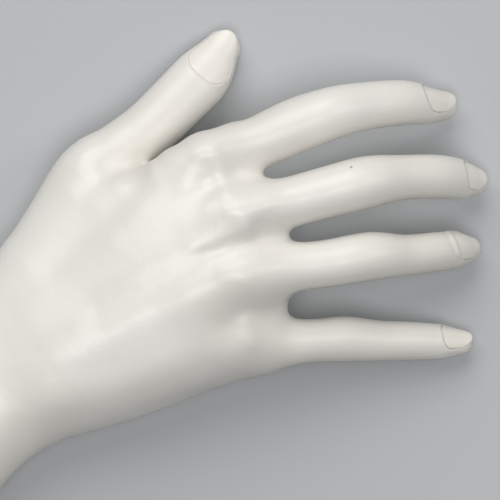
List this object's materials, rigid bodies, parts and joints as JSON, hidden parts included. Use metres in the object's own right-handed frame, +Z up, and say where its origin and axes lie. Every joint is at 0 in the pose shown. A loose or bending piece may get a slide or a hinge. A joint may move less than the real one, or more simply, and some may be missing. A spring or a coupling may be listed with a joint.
{
  "type": "jewelry display hand",
  "caption": "Life-size right hand lying palm down, fingers spread and gently curled, nails inset, for showing rings and bracelets.",
  "frame": {"origin": "middle of the overall box, on the surface the hand rests on", "axes": "+X along the fingers towards their tips, +Y towards the thumb's side, +Z up out of the back of the hand"},
  "size_m": [0.2128, 0.1674, 0.05],
  "materials": {
    "shell_paint": "satin off-white paint over moulded resin",
    "nail_paint": "smoother satin off-white paint",
    "plate_plastic": "moulded, fine grain",
    "bush_brass": "turned",
    "hardware_steel": "zinc plated"
  },
  "bodies": {
    "root": {"back_shell": "shell_paint", "palm_shell": "shell_paint", "thumb_nail": "nail_paint", "index_nail": "nail_paint", "middle_nail": "nail_paint", "ring_nail": "nail_paint", "little_nail": "nail_paint", "wrist_plate": "plate_plastic", "stand_bush": "bush_brass", "bush_washer": "hardware_steel", "bush_nut": "hardware_steel", "plate_screw_1": "hardware_steel", "plate_screw_2": "hardware_steel", "plate_screw_3": "hardware_steel", "plate_screw_4": "hardware_steel"}
  },
  "joints": []
}
